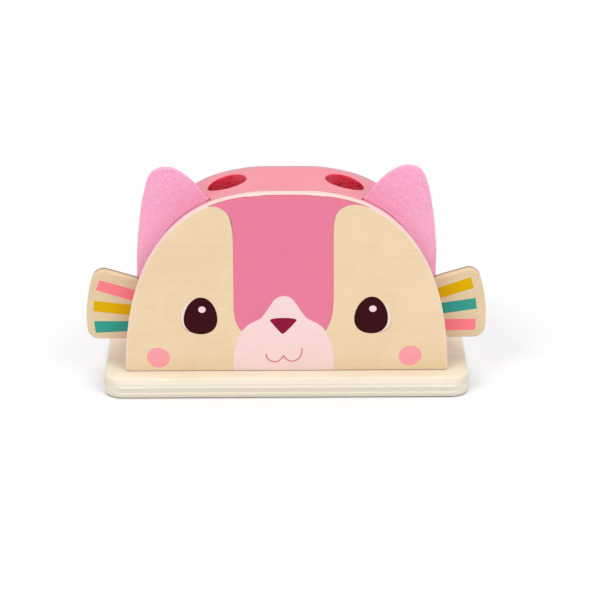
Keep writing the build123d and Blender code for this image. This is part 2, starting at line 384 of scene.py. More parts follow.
def satin_paint(name, paint, deep, on_block=False):
    """Satin paint over wood: faint grain under it, and a roller's mottling. On the block it is greyed as
    painted shade behind the panel and as a painted edge light towards the back rim, and the pegs' holes
    get their own paint with painted light and shade."""
    shader = Shader(name)
    place, normal = shader.place()
    streaks, _ = wood_grain(shader, place, 0)
    mottle = shader.noise(place, 1.1, 3.0, 0.6)
    drift = shader.noise(place, 30.0)
    shade = drift.rise(0.3, 0.7) * 0.1 + mottle.rise(0.4, 0.7) * 0.05 + streaks * 0.05
    colour = shader.blend(shade, rgba(paint), rgba(deep))
    relief = mottle * 0.6 + streaks * 0.4
    if on_block:
        _, y, _ = shader.parts(place)
        # Painted shade behind the panel's step, and a painted grey edge light towards the back rim
        shade_and_rim_light = y.rise(*back_rim_light_span) * 0.8 + (1 - y.rise(*panel_shade_span)) * 0.35
        shade_and_rim_light = shade_and_rim_light * (1 - abs(shader.parts(normal)[1]).rise(0.6, 0.95))
        colour = shader.blend(shade_and_rim_light, colour, rgba(paint, grey_shade_and_rim_light_factor))
        inside, hole, cut = hole_paint(shader, place, paint, deep)
        colour = shader.blend(inside, colour, hole)
        relief = relief + inside * cut * hole_roughness
    return shader.finish(colour, 0.4 + mottle * 0.12, shader.bump(relief, 0.012))


def hole_paint(shader, place, paint, deep):
    """Paint in the pegs' holes: 1 inside a hole, the colour there, and the marks of the cut. Its deep pink
    is partly painted shade. It is brighter high on the wall as painted light, darker deep down as painted
    shade and darker in the marks, lightened at the wall's inner end as painted light, and the outer paint
    shows through where it is torn."""
    x, y, z = shader.parts(place)
    radius = ((abs(x) - peg_x) ** 2 + (y - peg_y) ** 2) ** 0.5
    inside = 1 - radius.rise(bore_radius + 0.05, bore_radius + 0.4)
    marked = shader.stretched(place, (0.6, 0.6, 1.3))
    cut = shader.noise(marked, 2.2, 4.0, 0.7, 0.8)
    torn = shader.noise(marked, 1.3, 3.0, 0.7, 0.8).rise(0.55, 0.64)
    # Painted light high on the wall and painted shade deep down; the cut marks are darker too
    shade_and_marks = (1 - z.rise(*hole_shade_depths)) * 0.55 + cut.rise(0.5, 0.6) * 0.45
    colour = shader.blend(shade_and_marks, rgba(deep, hole_painted_light_factor), rgba(deep, hole_shade_and_mark_factor))
    # Painted light: the wall's inner end is lightened towards the outer paint
    inner_end_light = (peg_x - abs(x)).rise(2.0, bore_radius)
    return inside, shader.blend(inner_end_light * 0.2 + torn * 0.3, colour, rgba(paint)), cut


def felt(name, colours):
    """Pressed wool felt: fine fibres of three tints, a pilled surface and a soft sheen at its edges. It is
    lightened towards its foot as painted light, and a painted shade line lies where it comes out of the
    block. A point on the block's dome has a sum of powers of 1."""
    shader = Shader(name)
    place, _ = shader.place()
    fibres = shader.noise(shader.drawn_out(place, 2, 0.7), 0.42, 3.0, 0.75, 1.6)
    pills = shader.noise(place, 1.5, 3.0, 0.7, 0.9)
    specks = shader.noise(place, 0.75, 2.0, 0.6, 0.4)
    colour = shader.blend(pills.rise(0.38, 0.66) * 0.55, rgba(colours.felt), rgba(colours.felt_light))
    colour = shader.blend(specks.rise(0.55, 0.68) * 0.6, colour, rgba(colours.felt_dark))
    x, _, z = shader.parts(place)
    # Painted light: the felt is lightened towards its foot, where the panel shades it
    low = 1 - z.rise(*ear_painted_light_heights)
    colour = shader.blend(low * 0.5 + fibres.rise(0.5, 0.72) * 0.5, colour, rgba(colours.felt_light))
    half_width, height, powers = block_dome
    above_block = (abs(x) / half_width) ** powers[0] + ((z - base_top) / height) ** powers[1] - 1
    # Painted shade: a dark line where the felt comes out of the block
    foot = (1 - above_block.rise(0.0, 0.03)) * 0.42
    colour = shader.blend(foot, colour, rgba(colours.felt_dark, felt_foot_shade_factor))
    relief = fibres * 0.5 + pills * 0.9
    fixed = {"Sheen Weight": 0.2, "Sheen Roughness": 0.5, "Specular IOR Level": 0.15}
    return shader.finish(colour, 0.93 + specks * 0.07, shader.bump(relief, 0.28), **fixed)


def print_ink(name, ink):
    """Screen-printed ink: nearly even, with the veneer's grain faint under it, and darkened as painted
    shade where it runs over a board's rounded edge."""
    shader = Shader(name)
    place, normal = shader.place()
    streaks, pores = wood_grain(shader, place, 0)
    mottle = shader.noise(place, 0.6, 2.0, 0.6)
    drift = shader.noise(place, 24.0)
    shade = streaks * 0.05 + drift.rise(0.3, 0.7) * 0.07 + mottle.rise(0.5, 0.8) * 0.04
    # Painted shade: the ink is darkened where it runs up over a rounded edge
    shade = shade + shader.parts(normal)[2].rise(0.02, 0.4) * 0.9
    colour = shader.blend(shade, rgba(ink), rgba(ink, edge_ink_shade_factor))
    relief = mottle * 0.4 + streaks * 0.5 - pores * 0.5
    fixed = {"Specular IOR Level": 0.06}
    return shader.finish(colour, 0.5 + mottle * 0.1, shader.bump(relief, 0.012), **fixed)


def turned_wood(name, light, dark, along):
    """Beech for dowels and turned heads: short flecks along the grain and fine rings from the lathe."""
    shader = Shader(name)
    place, _ = shader.place()
    streaks, pores = wood_grain(shader, place, along)
    flecks = shader.noise(shader.drawn_out(place, along, 0.3), 0.5, 1.0).rise(0.6, 0.72)
    rings = (shader.parts(place)[along] * 14.0).math("SINE") * 0.5 + 0.5
    colour = shader.blend(streaks * 0.7, rgba(light), rgba(dark))
    colour = shader.blend(flecks * 0.35 + pores * 0.2, colour, rgba(dark, 0.55))
    relief = streaks * 0.5 - pores * 0.6 + rings * 0.25
    return shader.finish(colour, 0.42 + streaks * 0.12, shader.bump(relief, 0.02))


def brushed_steel(name, colour):
    """Steel with fine turning marks and slightly uneven gloss."""
    shader = Shader(name)
    place, _ = shader.place()
    marks = shader.noise(shader.drawn_out(place, 1, 0.08), 0.12)
    smears = shader.noise(place, 2.4, 3.0)
    smeared = shader.blend(smears * 0.3, rgba(colour), rgba(colour, 0.7))
    return shader.finish(smeared, 0.24 + marks * 0.2, shader.bump(marks, 0.004), Metallic=1.0)


def studio_floor(name, colour, shadow_share):
    """A matt floor that the camera sees partly as plain white, and wholly so far from the toy, so that
    only soft shadows show."""
    shader = Shader(name)
    place, _ = shader.place()
    x, y, _ = shader.parts(place)
    far = (((x - shadow_middle[0]) ** 2 + (y - shadow_middle[1]) ** 2) ** 0.5).rise(*shadow_fade)
    roughness = 0.9 + shader.noise(place, 1.5) * 0.1
    inputs = {"Base Color": rgba(colour), "Roughness": roughness, "Specular IOR Level": 0.1}
    paper = shader.node("BsdfPrincipled", {}, inputs)
    backdrop = shader.node("Emission", {}, {"Color": white, "Strength": 1.0})
    seen = seen_directly(shader) * (1 - (1 - far) * shadow_share)
    return shader.output(shader.node("MixShader", {}, {0: seen, 1: paper, 2: backdrop}))


def seen_directly(shader):
    """1 for rays from the camera and for those that come by gloss or through glass, otherwise 0."""
    rays = shader.node("LightPath", outputs=("Is Camera Ray", "Is Glossy Ray", "Is Transmission Ray"))
    return rays[0].math("MAXIMUM", rays[1]).math("MAXIMUM", rays[2])


# Lines and surfaces


def smooth_line(points, steps=12):
    """A Catmull-Rom line through points: between two of them it is the cubic whose slope at each
    point is half the step from the point before it to the point after it."""
    points = np.asarray(points, float)
    padded = np.vstack([2 * points[0] - points[1], points, 2 * points[-1] - points[-2]])
    before, start, end, after = padded[:-3], padded[1:-2], padded[2:-1], padded[3:]
    t = np.linspace(0, 1, steps, endpoint=False)[:, None, None]
    line = start + 0.5 * (
        (end - before) * t
        + (2 * before - 5 * start + 4 * end - after) * t**2
        + (3 * start - before - 3 * end + after) * t**3
    )
    return np.vstack([line.transpose(1, 0, 2).reshape(-1, points.shape[1]), points[-1:]])


def along(line, shares):
    """The points at shares of a line's length, from 0 at its start to 1 at its end."""
    steps = np.linalg.norm(np.diff(line, axis=0), axis=1)
    reached = np.concatenate([[0.0], np.cumsum(steps)]) / steps.sum()
    return np.column_stack([np.interp(shares, reached, part) for part in np.asarray(line).T])


def unit(vectors):
    """Rows scaled to a length of 1."""
    return vectors / np.linalg.norm(vectors, axis=1)[:, None]


def sideways(line):
    """Unit vectors across a line in a plane, to the left of its way."""
    step = np.gradient(line, axis=0)
    return unit(np.column_stack([-step[:, 1], step[:, 0]]))


def dome_line(half_width, height, powers, count=200):
    """A dome's right half, foot to crown, as (x, z). With t from 0 to 90 degrees, x is the half width
    times cos(t) ^ (2 / powers[0]), and z is the height times sin(t) ^ (2 / powers[1]) over the base."""
    t = np.radians(np.linspace(0, 90, count))
    x = half_width * np.cos(t) ** (2 / powers[0])
    z = base_top + height * np.sin(t) ** (2 / powers[1])
    return np.column_stack([x, z])


def panel_top(x, inset):
    """The height over each x of a line that runs an inset inside the panel's dome."""
    line = dome_line(*panel_dome)
    line = (line + sideways(line) * inset)[::-1]
    return np.interp(np.abs(x), line[:, 0], line[:, 1])


def cells(grid):
    """The quads between the points of a grid of numbers, counterclockwise."""
    return np.column_stack(
        [grid[:-1, :-1].ravel(), grid[:-1, 1:].ravel(), grid[1:, 1:].ravel(), grid[1:, :-1].ravel()]
    )


def mesh_from(name, points, triangles):
    """A mesh, in metres, from points in millimetres. Points that coincide become one, triangles that
    this leaves without three corners go, and all are turned over if their volume comes out negative."""
    _, first, number = np.unique(np.round(points, 6), axis=0, return_index=True, return_inverse=True)
    points = points[first]
    triangles = number.ravel()[triangles]
    a, b, c = triangles.T
    triangles = triangles[(a != b) & (b != c) & (c != a)]
    corners = points[triangles] - points.mean(0)
    volume = np.einsum("ij,ij->i", corners[:, 0], np.cross(corners[:, 1], corners[:, 2])).sum()
    if volume < 0:
        triangles = triangles[:, ::-1]
    mesh = bpy.data.meshes.new(name)
    mesh.from_pydata(points * mm, [], triangles)
    mesh.validate()
    return mesh


def halves(quads):
    """Each quad as two triangles."""
    return np.vstack([quads[:, [0, 1, 2]], quads[:, [0, 2, 3]]])


def closed_shell(name, front, back):
    """A closed mesh from two grids of points of the same size: their quads, and a rim of quads that
    joins their four sides."""
    rows, columns, _ = front.shape
    grid = np.arange(rows * columns).reshape(rows, columns)
    behind = rows * columns
    ring = np.concatenate([grid[0, :-1], grid[:-1, -1], grid[-1, :0:-1], grid[:0:-1, 0]])
    following = np.roll(ring, -1)
    rim = np.column_stack([following, ring, ring + behind, following + behind])
    quads = np.vstack([cells(grid), cells(grid + behind)[:, ::-1], rim])
    points = np.vstack([front.reshape(-1, 3), back.reshape(-1, 3)])
    return mesh_from(name, points, halves(quads))


def between(lower, upper):
    """Three lines of points: the lower one, one halfway up, and the upper one."""
    return np.linspace(lower, upper, 3)


def film(name, lines, face_y, proud, drop=0.0, sunk=0.1):
    """A thin film through lines (x, z) of as many points each. It stands proud of the face at face_y
    and is sunk into it a little. drop is how far behind that face the surface lies at each point."""
    front = np.insert(lines, 1, face_y - proud + drop, axis=2)
    back = np.insert(lines, 1, face_y + sunk + drop, axis=2)
    return closed_shell(name, front, back)


def panel_drop(lines):
    """How far a film falls behind the panel's face on its rounded edge, which itself falls by
    r - sqrt(r^2 - (r - d)^2) at a distance d of less than r inside the outline. The film falls a
    little less, so that no wood shows through it."""
    outline = along(dome_line(*panel_dome, count=1000), np.linspace(0, 1, 1200))
    outline = np.vstack([outline * (-1, 1), outline[::-1]])
    to_dome = np.linalg.norm(lines[..., None, :] - outline, axis=-1).min(-1)
    inside = np.minimum(to_dome, lines[..., 1] - base_top)
    over = np.clip(panel_edge_radius - inside, 0, panel_edge_radius)
    return print_follows_edge * (panel_edge_radius - np.sqrt(panel_edge_radius**2 - over**2))


def soft_noise(places, cell, seed):
    """Soft random heights from -1 to 1 over a plane: values on a square lattice, eased between its
    corners by 3t^2 - 2t^3."""
    lattice = np.random.default_rng(seed).uniform(-1, 1, (256, 256))
    steps = places / cell
    corner = np.floor(steps).astype(int)
    ease = steps - corner
    ease = ease * ease * (3 - 2 * ease)
    column, row = corner[..., 0] % 255, corner[..., 1] % 255
    east, north = ease[..., 0], ease[..., 1]
    near = lattice[column, row] * (1 - east) + lattice[column + 1, row] * east
    far = lattice[column, row + 1] * (1 - east) + lattice[column + 1, row + 1] * east
    return near * (1 - north) + far * north


def add_piece(name, mesh, material, body):
    """Puts a mesh into the scene as a piece that rides on a body."""
    if name in bpy.data.objects:
        raise RuntimeError(f"there is already a piece named {name}")
    mesh.materials.append(material)
    piece = bpy.data.objects.new(name, mesh)
    bpy.context.scene.collection.objects.link(piece)
    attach(piece, body)
    return piece


def both(part):
    """A part's names on the left and on the right."""
    return [f"{side}_{part}" for side, _ in SIDES]


def dress(nodes, material):
    """Gives CAD nodes a material."""
    for name in nodes:
        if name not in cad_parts:
            raise RuntimeError(f"the frame has no node named {name}")
        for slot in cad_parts[name].material_slots:
            slot.material = material


# Shapes of the printed face


def on_panel(points):
    """Points (x, height above print_foot) as (x, z)."""
    return np.asarray(points, float) + (0.0, print_foot)


def oval_lines(centre, half_width, half_height, tilt=0.0, egg=0.0, power=1.0, columns=40):
    """An oval (a cos t (1 - k sin t), b sin t), tilted, from its lower half's edge to its upper one.
    egg is k, the share by which it narrows towards its top. Sine and cosine are raised to a power:
    below 1 it makes the oval fuller."""
    t = np.linspace(np.pi, 2 * np.pi, columns)
    lean = radians(tilt)
    turn = np.array([(cos(lean), sin(lean)), (-sin(lean), cos(lean))])
    edges = []
    for angle in (t, 2 * np.pi - t):
        across, upwards = [np.sign(part) * np.abs(part) ** power for part in (np.cos(angle), np.sin(angle))]
        x = half_width * across * (1 - egg * upwards)
        z = half_height * upwards
        edges.append(on_panel(np.column_stack([x, z]) @ turn + centre))
    return between(*edges)


def blaze_lines(columns=160):
    """The blaze, from its lower boundary, tip to tip, up to the arc above it. The arc runs on the
    panel's rounded edge, and its x grows with the share of the boundary that has been passed."""
    boundary = np.vstack([smooth_line(blaze_left), blaze_bottom, smooth_line(blaze_right)])
    shares = np.linspace(0, 1, columns)
    lower = along(on_panel(boundary), shares)
    arc_shares = (0, 0.12, 0.4, 0.6, 0.88, 1)
    arc_x = (lower[0, 0], -30, -12, 10, 27, lower[-1, 0])
    x = np.interp(shares, arc_shares, arc_x)
    insets = np.linspace(panel_edge_radius, print_margin, 5)
    arcs = [np.column_stack([x, np.maximum(panel_top(x, inset), lower[:, 1])]) for inset in insets]
    for arc in arcs:
        arc[[0, -1]] = lower[[0, -1]]
    return np.vstack([between(lower, arcs[0]), arcs[1:]])


def muzzle_lines():
    """The muzzle, from its left edge to its right one, each from the bottom to the top."""
    side = smooth_line(muzzle_half_widths)
    edges = [np.column_stack([muzzle_middle_x + sign * side[:, 0], side[:, 1]]) for _, sign in SIDES]
    return between(*[on_panel(edge) for edge in edges])


def nose_lines(half_width, columns=41):
    """The nose, from its lower edge to its upper one: a triangle with rounded corners under a low
    arch. Its columns are x = -w cos t. The sides fall as 1 - |cos t|, and a root of squares rounds
    the bottom tip."""
    t = np.linspace(0, np.pi, columns)
    across = -np.cos(t)
    tip = 0.12
    fall = 1 - (np.sqrt(across**2 + tip**2) - tip) / (np.sqrt(1 + tip**2) - tip)
    x = nose_middle_x + half_width * across
    low_z = nose_top - nose_depth * fall - 0.5 * np.sin(t) ** 0.5
    lower = np.column_stack([x + nose_tip_shift * fall, low_z])
    upper = np.column_stack([x, nose_top + 0.9 * np.sin(t) ** 0.6 + 0.6 * np.sin(t)])
    return between(on_panel(lower), on_panel(upper))


def stroke_lines(points, width):
    """A pen stroke along a smooth line, with round ends: each point is moved both ways across the
    line by h, or by the root of h^2 - (h - s)^2 where the distance s to an end is less than h."""
    half = width / 2
    line = smooth_line(points)
    length = np.linalg.norm(np.diff(line, axis=0), axis=1).sum()
    caps = half / length * (1 - np.cos(np.radians(np.linspace(0, 90, 6))))
    shares = np.sort(np.concatenate([caps, np.linspace(0, 1, 60)[2:-2], 1 - caps[::-1]]))
    line = on_panel(along(line, shares))
    to_end = np.minimum(shares, 1 - shares) * length
    across = sideways(line) * np.sqrt(half**2 - np.clip(half - to_end, 0, half) ** 2)[:, None]
    return between(line - across, line + across)


# Shapes of the felt


def ear_grids(sign, shift, seed, roughness):
    """Front and back of one felt ear. At share u along, a ray runs from the cut edge to the foot in
    the slot. At angle a, up to 90 degrees, its point lies r (1 - cos a) inside the edge, where the
    felt has sin a of its thickness; further in it has all of it. shift moves the cut edge outwards
    and up, less so near the foot. Soft noise makes the faces and the edge uneven."""
    shares = np.linspace(0, 1, ear_columns)
    slot_floor = dome_line(*slot_floor_dome)
    slot_floor = slot_floor[(slot_floor[:, 1] > ear_foot[-1][1]) & (slot_floor[:, 0] > ear_edge[-1][0])]
    foot = along(np.vstack([ear_foot, slot_floor, ear_edge[-1:]]), shares)
    edge = along(smooth_line(ear_edge), shares)
    edge = edge + np.clip((edge[:, 1:] - ear_edge[0][1]) / ear_shift_rise, 0, 1) * shift
    reach = np.linalg.norm(foot - edge, axis=1)
    inwards = (foot - edge) / np.maximum(reach, 1e-6)[:, None]
    angles = np.radians(np.linspace(0, 90, ear_rim_rows))[:, None]
    soft_rim = np.minimum(ear_rim_width, 0.3 * reach)
    rim = soft_rim * (1 - np.cos(angles))
    field = soft_rim + np.linspace(0, 1, ear_rows)[1:, None] * (reach - soft_rim)
    distance = np.vstack([rim, field])
    flat = edge + inwards * distance[:, :, None]
    half = np.vstack([np.repeat(np.sin(angles), ear_columns, 1), np.ones_like(field)])
    half = half * ear_thickness / 2 * np.minimum(1, reach / 1.5)
    wobble = [soft_noise(flat, 0.7, seed + number) for number in (0, 1)]
    flat = flat + np.stack(wobble, axis=2) * roughness * 0.8
    sheets = []
    for number, side in ((2, -1), (4, 1)):
        uneven = soft_noise(flat, 0.8, seed + number) + 0.6 * soft_noise(flat, 3.0, seed + number + 1)
        y = ear_middle_y + side * half * (1 + uneven * roughness / (ear_thickness / 2))
        sheets.append(np.stack([flat[..., 0] * sign, y, flat[..., 1]], axis=2))
    return sheets


def felt_fibres(name, sheets, seed, count, radius):
    """Loose fibres on both faces and the rim. Each is a three-sided tube along
    root + t lean + t^2 curl, with t from 0 to 1, and it narrows towards its tip."""
    rings, corners, deepest_row = 4, 3, 55
    random = np.random.default_rng(seed)
    sheet = random.integers(0, 2, count)
    row = (random.random(count) ** 2.2 * deepest_row).astype(int)
    column = random.integers(12, ear_columns - 4, count)
    grids = np.stack(sheets)
    root = grids[sheet, row, column]
    rim_direction = unit(grids[sheet, 0, column] - grids[sheet, ear_rim_rows + 1, column])
    face_direction = np.zeros((count, 3))
    face_direction[:, 1] = sheet * 2.0 - 1.0
    near_rim = np.clip(1 - row / 6, 0, 1)[:, None]
    outwards = rim_direction * near_rim + face_direction * (1 - near_rim * 0.5)
    lean = random.normal(0, 0.55, (count, 3)) + outwards * random.uniform(0.05, 0.5, (count, 1))
    curl = random.normal(0, 0.35, (count, 3)) - face_direction * 0.1
    t = np.linspace(0, 1, rings)[None, :, None]
    spine = root[:, None] - outwards[:, None] * 0.05 + lean[:, None] * t + curl[:, None] * t**2
    first = unit(np.cross(lean, outwards))
    second = unit(np.cross(lean, first))
    angle = np.radians(np.arange(corners) * 360 / corners)[None, None, :, None]
    spoke = np.cos(angle) * first[:, None, None] + np.sin(angle) * second[:, None, None]
    points = spine[:, :, None] + spoke * (radius * (1 - 0.6 * t)[..., None])
    ring = np.arange(rings * corners).reshape(rings, corners)
    walls = halves(cells(np.column_stack([ring, ring[:, :1]])))
    one = np.vstack([walls, ring[:1, ::-1], ring[-1:]])
    triangles = (one + np.arange(count)[:, None, None] * ring.size).reshape(-1, 3)
    return mesh_from(name, points.reshape(-1, 3), triangles)


# Settings


def tint(name, description, *screen_colour):
    """A colour that a user can change, from a screen colour."""
    linear = srgb(*screen_colour)
    return bpy.props.FloatVectorProperty(
        name=name, description=description, subtype="COLOR", size=3, min=0.0, max=1.0, default=linear
    )


def number_setting(name, description, default, **rest):
    """A number from 0 up that a user can change."""
    return bpy.props.FloatProperty(name=name, description=description, default=default, min=0.0, **rest)


def length_setting(name, description, millimetres):
    """A length that a user can change. Blender keeps it in metres."""
    return number_setting(name, description, millimetres * mm, unit="LENGTH", precision=5)


class ToySizes(bpy.types.PropertyGroup):
    """Sizes of the print and the felt"""

    ink_thickness: length_setting("Ink", "How far one layer of ink stands proud", 0.03)
    eye_width: length_setting("Eye width", "Width of the dark of an eye", 18.1)
    eye_height: length_setting("Eye height", "Height of the dark of an eye", 21.6)
    highlight_width: length_setting("Highlight width", "Width of an eye's highlight", 4.0)
    highlight_height: length_setting("Highlight height", "Height of an eye's highlight", 3.75)
    cheek_width: length_setting("Cheek width", "Width of a cheek before it is tilted", 12.8)
    cheek_height: length_setting("Cheek height", "Height of a cheek before it is tilted", 11.6)
    nose_width: length_setting("Nose width", "Width of the nose at its top", 14.4)
    mouth_line: length_setting("Mouth line", "Width of the mouth's line", 0.7)
    felt_roughness: length_setting("Felt roughness", "How uneven the felt's surface is", 0.09)
    fibre_radius: length_setting("Fibre radius", "Radius of a loose felt fibre", 0.03)
    fibre_count: bpy.props.IntProperty(
        name="Fibres", description="Loose fibres on each ear", default=1500, min=1, max=6000
    )


class ToyColours(bpy.types.PropertyGroup):
    """Colours of the wood, paint, ink and felt"""

    veneer: tint("Panel veneer", "Face of the panel", 238, 213, 174)
    # Its pink, on the panel's top edge, is a painted reflection of the pink block
    panel_pale_ply_pink_bounce: tint("Panel's pale plies", "Edge of the face panel", 243, 212, 206)
    # Brighter than the veneer: the edge wood's cream with a painted highlight, on the panel's side edges
    panel_dark_ply_highlight: tint("Panel's dark plies", "Edge of the face panel", 255, 238, 200)
    base_veneer: tint("Base veneer", "Top of the base plate", 244, 236, 215)
    base_pale_ply: tint("Base's pale plies", "Edge of the base plate", 250, 238, 222)
    base_dark_ply: tint("Base's dark plies", "Edge of the base plate", 228, 218, 200)
    paddle_veneer: tint("Paddle veneer", "Face of the paddles", 229, 206, 168)
    paddle_pale_ply: tint("Paddles' pale plies", "Edge of the paddles", 228, 206, 178)
    paddle_dark_ply: tint("Paddles' dark plies", "Edge of the paddles", 156, 136, 126)
    body_paint: tint("Body paint", "Paint of the head's block", 240, 152, 166)
    # Deep pink of the block's darker mottles and of the holes, where it is partly painted shade
    deep_paint_and_hole_shade: tint("Hole paint", "Paint inside the pegs' holes", 232, 60, 88)
    blaze: tint("Blaze", "Pink field of the printed face", 232, 126, 155)
    muzzle: tint("Muzzle", "Pale muzzle of the printed face", 247, 216, 214)
    nose: tint("Nose", "Nose of the printed face", 144, 20, 56)
    mouth: tint("Mouth", "Line of the mouth", 214, 120, 138)
    eye: tint("Eye", "Dark of the eyes", 56, 11, 18)
    eye_rim: tint("Eye rim", "Pale rim behind an eye", 240, 220, 208)
    eye_line: tint("Eye line", "Thin line outside an eye's rim", 205, 178, 160)
    highlight: tint("Highlight", "Highlight of the eyes", 243, 215, 223)
    cheek: tint("Cheek", "Round cheeks", 251, 161, 171)
    stripe_pink: tint("Pink stripe", "Stripe on each paddle", 255, 131, 144)
    stripe_mustard: tint("Mustard stripe", "Stripe on each paddle", 225, 177, 0)
    stripe_teal: tint("Teal stripe", "Stripe on each paddle", 56, 160, 147)
    felt: tint("Felt", "Main colour of the ears", 252, 164, 202)
    # Also the painted light towards the ears' foot
    felt_light: tint("Felt light", "Lighter fibres", 255, 200, 226)
    felt_dark: tint("Felt dark", "Lilac fibres", 206, 128, 180)
    beech: tint("Beech", "Dowels and turned heads", 228, 190, 148)
    beech_grain: tint("Beech grain", "Darker grain of the beech", 204, 158, 114)
    peg_paint: tint("Peg paint", "Painted stems and collars", 206, 52, 70)
    peg_paint_deep: tint("Deep peg paint", "Darker parts of that paint", 150, 24, 44)
    steel: tint("Steel", "Pivot pins and screws", 198, 198, 196)


class ToyStage(bpy.types.PropertyGroup):
    """Floor and lamps"""

    floor: tint("Floor", "Colour of the floor", 246, 247, 249)
    shadow_share: number_setting(
        "Shadow", "How much of the floor's shadow the camera sees", 1.0, subtype="FACTOR", max=1.0
    )
    front_lamps: number_setting("Front lamps", "Power of each of the front lamps", 9.5, unit="POWER")
    top_lamp: number_setting("Top lamp", "Power of the lamp overhead", 11.0, unit="POWER")
    surroundings: number_setting("Surroundings", "Strength of the light from all round", 0.45)


# Operators


class TOY_OT_base_plate(bpy.types.Operator):
    """Give the base plate and its screws their finish"""

    bl_idname = "toy.base_plate"
    bl_label = "Base plate"

    def execute(self, context):
        colours = context.scene.toy_colours
        tints = (colours.base_veneer, colours.base_pale_ply, colours.base_dark_ply)
        dress(["base_plate"], plywood("base_plywood", base_board, tints))
        dress(["base_screws", *both("pivot_pin")], brushed_steel("turned_steel", colours.steel))
        return {"FINISHED"}


class TOY_OT_head(bpy.types.Operator):
    """Paint the head's block, and give the face panel and its dowels their finish"""

    bl_idname = "toy.head"
    bl_label = "Head"

    def execute(self, context):
        colours = context.scene.toy_colours
        paint = satin_paint("body_paint", colours.body_paint, colours.deep_paint_and_hole_shade, True)
        dress(["body_block"], paint)
        tints = (colours.veneer, colours.panel_pale_ply_pink_bounce, colours.panel_dark_ply_highlight)
        dress(["face_panel"], plywood("face_plywood", panel_board, tints, edge_starts=0.9))
        dress(["panel_dowels"], turned_wood("beech_across", colours.beech, colours.beech_grain, 1))
        return {"FINISHED"}


class TOY_OT_face_print(bpy.types.Operator):
    """Print the face on the panel: blaze, muzzle, nose, mouth, eyes and cheeks"""

    bl_idname = "toy.face_print"
    bl_label = "Printed face"

    def execute(self, context):
        self.sizes = context.scene.toy_sizes
        self.colours = context.scene.toy_colours
        self.inks = {}
        self.print_piece("blaze", "blaze", 1, blaze_lines())
        self.print_piece("muzzle", "muzzle", 2, muzzle_lines())
        self.print_piece("nose", "nose", 3, nose_lines(self.sizes.nose_width / mm / 2))
        for side, points in (("left", mouth_left), ("right", mouth_right)):
            self.print_piece(f"mouth_{side}", "mouth", 3, stroke_lines(points, self.sizes.mouth_line / mm))
        for number, (side, sign) in enumerate(SIDES):
            self.print_eye(side, sign, eye_places[number], eye_rim_shifts[number], eye_tilts[number])
            cheek = oval_lines(cheek_places[number], *self.half_sizes("cheek"), cheek_tilt * sign)
            self.print_piece(f"{side}_cheek", "cheek", 1, cheek)
        return {"FINISHED"}

    def half_sizes(self, part):
        """Half the width and half the height of a part of the face, in millimetres."""
        return [getattr(self.sizes, f"{part}_{way}") / mm / 2 for way in ("width", "height")]

    def print_piece(self, name, ink, layer, lines):
        """One film of one ink. A higher layer lies on the lower ones."""
        if ink not in self.inks:
            self.inks[ink] = print_ink(f"{ink}_ink", getattr(self.colours, ink))
        proud = layer * self.sizes.ink_thickness / mm
        mesh = film(f"print_{name}", lines, panel_front, proud, panel_drop(lines))
        add_piece(f"print_{name}", mesh, self.inks[ink], "frame")

    def print_eye(self, side, sign, place, rim_shift, tilt):
        """A dark egg over a pale one that is set a little outwards, with a thin line round its side."""
        half_width, half_height = self.half_sizes("eye")
        x, z = place
        rim = (x + rim_shift[0], z + rim_shift[1])
        line = (rim[0] + eye_line_shift[0] * sign, rim[1] + eye_line_shift[1])
        layers = (("eye_line", line, eye_rim_lower), ("eye_rim", rim, eye_rim_lower), ("eye", place, 0.0))
        for layer, (ink, centre, less_height) in enumerate(layers, start=1):
            shape = (half_width, half_height - less_height, tilt, eye_egg, eye_fullness)
            self.print_piece(f"{side}_{ink}", ink, layer, oval_lines(centre, *shape))
        spot = oval_lines((x + highlight_offset[0], z + highlight_offset[1]), *self.half_sizes("highlight"))
        self.print_piece(f"{side}_eye_highlight", "highlight", 4, spot)


class TOY_OT_ears(bpy.types.Operator):
    """Make the felt ears and their loose fibres"""

    bl_idname = "toy.ears"
    bl_label = "Felt ears"

    def execute(self, context):
        sizes = context.scene.toy_sizes
        wool = felt("ear_felt", context.scene.toy_colours)
        for (side, sign), shift in zip(SIDES, ear_shifts):
            seed = 40 + sign
            sheets = ear_grids(sign, shift, seed, sizes.felt_roughness / mm)
            ear_mesh = closed_shell(f"{side}_felt_ear", *sheets)
            ear_mesh.shade_smooth()
            ear = add_piece(f"{side}_felt_ear", ear_mesh, wool, "frame")
            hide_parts(f"{side}_ear")
            name = f"{side}_ear_fibres"
            fibre_mesh = felt_fibres(name, sheets, seed, sizes.fibre_count, sizes.fibre_radius / mm)
            fibres = add_piece(name, fibre_mesh, wool, "frame")
        return {"FINISHED"}


class TOY_OT_paddles(bpy.types.Operator):
    """Give the paddles their plywood and print their stripes"""

    bl_idname = "toy.paddles"
    bl_label = "Paddles"

    def execute(self, context):
        colours = context.scene.toy_colours
        tints = (colours.paddle_veneer, colours.paddle_pale_ply, colours.paddle_dark_ply)
        dress(both("paddle"), plywood("paddle_plywood", paddle_board, tints))
        inks = {
            colour: print_ink(f"{colour}_stripe_ink", getattr(colours, f"stripe_{colour}"))
            for colour in ("pink", "mustard", "teal")
        }
        proud = context.scene.toy_sizes.ink_thickness / mm
        for side, stripes in (("left", left_stripes), ("right", right_stripes)):
            for colour, *corners in stripes:
                name = f"{side}_stripe_{colour}"
                mesh = film(name, between(corners[:2], corners[2:]), paddle_front, proud)
                add_piece(name, mesh, inks[colour], f"{side}_paddle")
        return {"FINISHED"}


class TOY_OT_pegs(bpy.types.Operator):
    """Give the pegs and the lift dowels under them their finish"""

    bl_idname = "toy.pegs"
    bl_label = "Pegs"

    def execute(self, context):
        colours = context.scene.toy_colours
        stem_paint = satin_paint("peg_paint", colours.peg_paint, colours.peg_paint_deep)
        dress(both("peg_stem") + both("peg_collar"), stem_paint)
        dress(both("peg_head"), turned_wood("beech_upright", colours.beech, colours.beech_grain, 2))
        dress(both("lift_dowel"), turned_wood("beech_lift", colours.beech, colours.beech_grain, 1))
        return {"FINISHED"}


